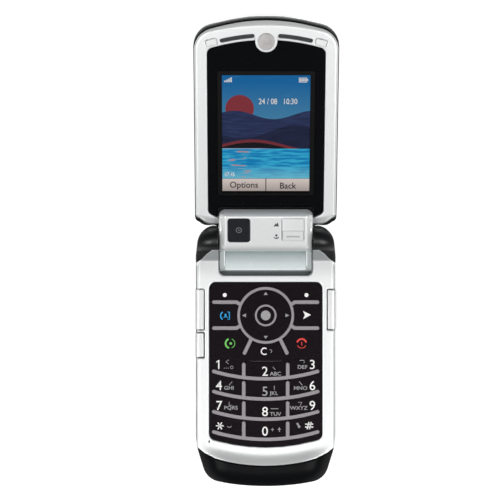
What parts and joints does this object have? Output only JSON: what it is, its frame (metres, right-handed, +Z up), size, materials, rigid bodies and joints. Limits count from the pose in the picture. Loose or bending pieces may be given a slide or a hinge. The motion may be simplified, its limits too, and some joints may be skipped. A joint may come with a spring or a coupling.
{
  "type": "flip phone",
  "caption": "Clamshell mobile phone lying open on its back, with a hinged display half, camera block, keypad, side keys and removable battery cover.",
  "frame": {"origin": "centre of the flat rest face under the base", "axes": "+X to the right of the keypad, +Y from the keypad to the flip, +Z up out of the keypad; the flip is stored open"},
  "size_m": [0.0536, 0.1747, 0.0404],
  "materials": {
    "silver_paint": "satin silver paint on moulded plastic",
    "silver_key": "satin silver side keys",
    "soft_black": "black with a soft sheen",
    "gloss_black": "glossy black",
    "cover_grey": "dark grey satin",
    "key_black": "smooth brown-black key film",
    "rib_grey": "light grey silicone ribs",
    "lens_black": "tinted lens",
    "display_glass": "colour display",
    "board_green": "solder mask",
    "can_metal": "tinned shield",
    "dome_film": "film with metal domes",
    "battery_grey": "battery case",
    "socket_steel": "stamped steel shell",
    "steel": "machined steel",
    "bronze": "bronze bush",
    "antenna_tan": "antenna carrier",
    "disc_silver": "brushed silver disc",
    "bumper_white": "soft rubber",
    "camera_black": "camera housing",
    "switch_white": "satin white"
  },
  "bodies": {
    "base": {"front_housing": "silver_paint", "rear_housing": "soft_black", "chin_cover": "soft_black", "battery": "battery_grey", "main_board": "board_green", "shield_cans": "can_metal", "dome_sheet": "dome_film", "keymat": "rib_grey", "charging_socket": "socket_steel", "microphone": "can_metal", "loudspeaker": "camera_black", "antenna": "antenna_tan", "base_screws": "steel"},
    "flip": {"flip_inner_housing": "silver_paint", "flip_outer_cover": "cover_grey", "display_window": "lens_black", "display_frame": "gloss_black", "display_module": "display_glass", "earpiece": "camera_black", "disc_cap": "disc_silver", "flip_bumpers": "bumper_white", "flip_board": "board_green", "outside_display": "display_glass", "outside_window": "lens_black", "camera_block": "silver_paint", "video_camera_window": "lens_black", "video_camera": "camera_black", "main_camera": "camera_black", "main_camera_window": "lens_black", "hinge_cartridge": "steel", "hinge_bush": "bronze"},
    "soft_key_left": {"soft_key_left": "key_black"},
    "soft_key_right": {"soft_key_right": "key_black"},
    "message_key": {"message_key": "key_black"},
    "browser_key": {"browser_key": "key_black"},
    "send_key": {"send_key": "key_black"},
    "end_key": {"end_key": "key_black"},
    "clear_key": {"clear_key": "key_black"},
    "key_1": {"key_1": "key_black"},
    "key_2": {"key_2": "key_black"},
    "key_3": {"key_3": "key_black"},
    "key_4": {"key_4": "key_black"},
    "key_5": {"key_5": "key_black"},
    "key_6": {"key_6": "key_black"},
    "key_7": {"key_7": "key_black"},
    "key_8": {"key_8": "key_black"},
    "key_9": {"key_9": "key_black"},
    "key_star": {"key_star": "key_black"},
    "key_0": {"key_0": "key_black"},
    "key_hash": {"key_hash": "key_black"},
    "nav_collar": {"nav_collar": "key_black"},
    "nav_ring": {"nav_ring": "key_black"},
    "select_key": {"select_key": "key_black"},
    "volume_key": {"volume_key": "silver_key"},
    "smart_key": {"smart_key": "silver_key"},
    "voice_key": {"voice_key": "silver_key"},
    "battery_cover": {"battery_cover": "soft_black"},
    "cover_latch": {"cover_latch": "cover_grey"},
    "macro_switch": {"macro_switch": "switch_white"},
    "camera_lens": {"camera_lens": "camera_black"}
  },
  "joints": [
    {"name": "flip_hinge", "type": "hinge", "parent": "base", "child": "flip", "pos_m": [0, 0.0443, 0.012], "axis": [1, 0, 0], "range_deg": [0, 160]},
    {"name": "soft_key_left_press", "type": "slide", "parent": "base", "child": "soft_key_left", "axis": [0, 0, -1], "range_m": [0, 0.00025], "stiffness_N_per_m": 2000},
    {"name": "soft_key_right_press", "type": "slide", "parent": "base", "child": "soft_key_right", "axis": [0, 0, -1], "range_m": [0, 0.00025], "stiffness_N_per_m": 2000},
    {"name": "message_key_press", "type": "slide", "parent": "base", "child": "message_key", "axis": [0, 0, -1], "range_m": [0, 0.00025], "stiffness_N_per_m": 2000},
    {"name": "browser_key_press", "type": "slide", "parent": "base", "child": "browser_key", "axis": [0, 0, -1], "range_m": [0, 0.00025], "stiffness_N_per_m": 2000},
    {"name": "send_key_press", "type": "slide", "parent": "base", "child": "send_key", "axis": [0, 0, -1], "range_m": [0, 0.00025], "stiffness_N_per_m": 2000},
    {"name": "end_key_press", "type": "slide", "parent": "base", "child": "end_key", "axis": [0, 0, -1], "range_m": [0, 0.00025], "stiffness_N_per_m": 2000},
    {"name": "clear_key_press", "type": "slide", "parent": "base", "child": "clear_key", "axis": [0, 0, -1], "range_m": [0, 0.00025], "stiffness_N_per_m": 2000},
    {"name": "key_1_press", "type": "slide", "parent": "base", "child": "key_1", "axis": [0, 0, -1], "range_m": [0, 0.00025], "stiffness_N_per_m": 2000},
    {"name": "key_2_press", "type": "slide", "parent": "base", "child": "key_2", "axis": [0, 0, -1], "range_m": [0, 0.00025], "stiffness_N_per_m": 2000},
    {"name": "key_3_press", "type": "slide", "parent": "base", "child": "key_3", "axis": [0, 0, -1], "range_m": [0, 0.00025], "stiffness_N_per_m": 2000},
    {"name": "key_4_press", "type": "slide", "parent": "base", "child": "key_4", "axis": [0, 0, -1], "range_m": [0, 0.00025], "stiffness_N_per_m": 2000},
    {"name": "key_5_press", "type": "slide", "parent": "base", "child": "key_5", "axis": [0, 0, -1], "range_m": [0, 0.00025], "stiffness_N_per_m": 2000},
    {"name": "key_6_press", "type": "slide", "parent": "base", "child": "key_6", "axis": [0, 0, -1], "range_m": [0, 0.00025], "stiffness_N_per_m": 2000},
    {"name": "key_7_press", "type": "slide", "parent": "base", "child": "key_7", "axis": [0, 0, -1], "range_m": [0, 0.00025], "stiffness_N_per_m": 2000},
    {"name": "key_8_press", "type": "slide", "parent": "base", "child": "key_8", "axis": [0, 0, -1], "range_m": [0, 0.00025], "stiffness_N_per_m": 2000},
    {"name": "key_9_press", "type": "slide", "parent": "base", "child": "key_9", "axis": [0, 0, -1], "range_m": [0, 0.00025], "stiffness_N_per_m": 2000},
    {"name": "key_star_press", "type": "slide", "parent": "base", "child": "key_star", "axis": [0, 0, -1], "range_m": [0, 0.00025], "stiffness_N_per_m": 2000},
    {"name": "key_0_press", "type": "slide", "parent": "base", "child": "key_0", "axis": [0, 0, -1], "range_m": [0, 0.00025], "stiffness_N_per_m": 2000},
    {"name": "key_hash_press", "type": "slide", "parent": "base", "child": "key_hash", "axis": [0, 0, -1], "range_m": [0, 0.00025], "stiffness_N_per_m": 2000},
    {"name": "select_key_press", "type": "slide", "parent": "base", "child": "select_key", "axis": [0, 0, -1], "range_m": [0, 0.00025], "stiffness_N_per_m": 2000},
    {"name": "nav_up_down", "type": "hinge", "parent": "base", "child": "nav_collar", "pos_m": [0, 0.0151, 0.0102], "axis": [1, 0, 0], "range_deg": [-1.7, 1.7], "stiffness_Nm_per_rad": 0.3},
    {"name": "nav_left_right", "type": "hinge", "parent": "nav_collar", "child": "nav_ring", "pos_m": [0, 0.0151, 0.0102], "axis": [0, 1, 0], "range_deg": [-1.7, 1.7], "stiffness_Nm_per_rad": 0.3},
    {"name": "volume_rock", "type": "hinge", "parent": "base", "child": "volume_key", "pos_m": [-0.0249, 0.0173, 0.009], "axis": [0, 0, 1], "range_deg": [-1.8, 1.8], "stiffness_Nm_per_rad": 0.4},
    {"name": "smart_press", "type": "slide", "parent": "base", "child": "smart_key", "axis": [1, 0, 0], "range_m": [0, 0.0003], "stiffness_N_per_m": 2000},
    {"name": "voice_press", "type": "slide", "parent": "base", "child": "voice_key", "axis": [-1, 0, 0], "range_m": [0, 0.0003], "stiffness_N_per_m": 2000},
    {"name": "cover_lift", "type": "slide", "parent": "base", "child": "battery_cover", "axis": [0, 0, -1], "range_m": [0, 0.01]},
    {"name": "latch_slide", "type": "slide", "parent": "base", "child": "cover_latch", "axis": [0, 1, 0], "range_m": [0, 0.0012], "stiffness_N_per_m": 300},
    {"name": "macro_slide", "type": "slide", "parent": "flip", "child": "macro_switch", "axis": [0, 0.9397, 0.342], "range_m": [0, 0.0048]},
    {"name": "lens_shift", "type": "slide", "parent": "flip", "child": "camera_lens", "axis": [0, 0.342, -0.9397], "range_m": [0, 0.0003]}
  ],
  "couplings": [
    {"joint": "lens_shift", "follows": "macro_slide", "ratio": 0.0625}
  ]
}
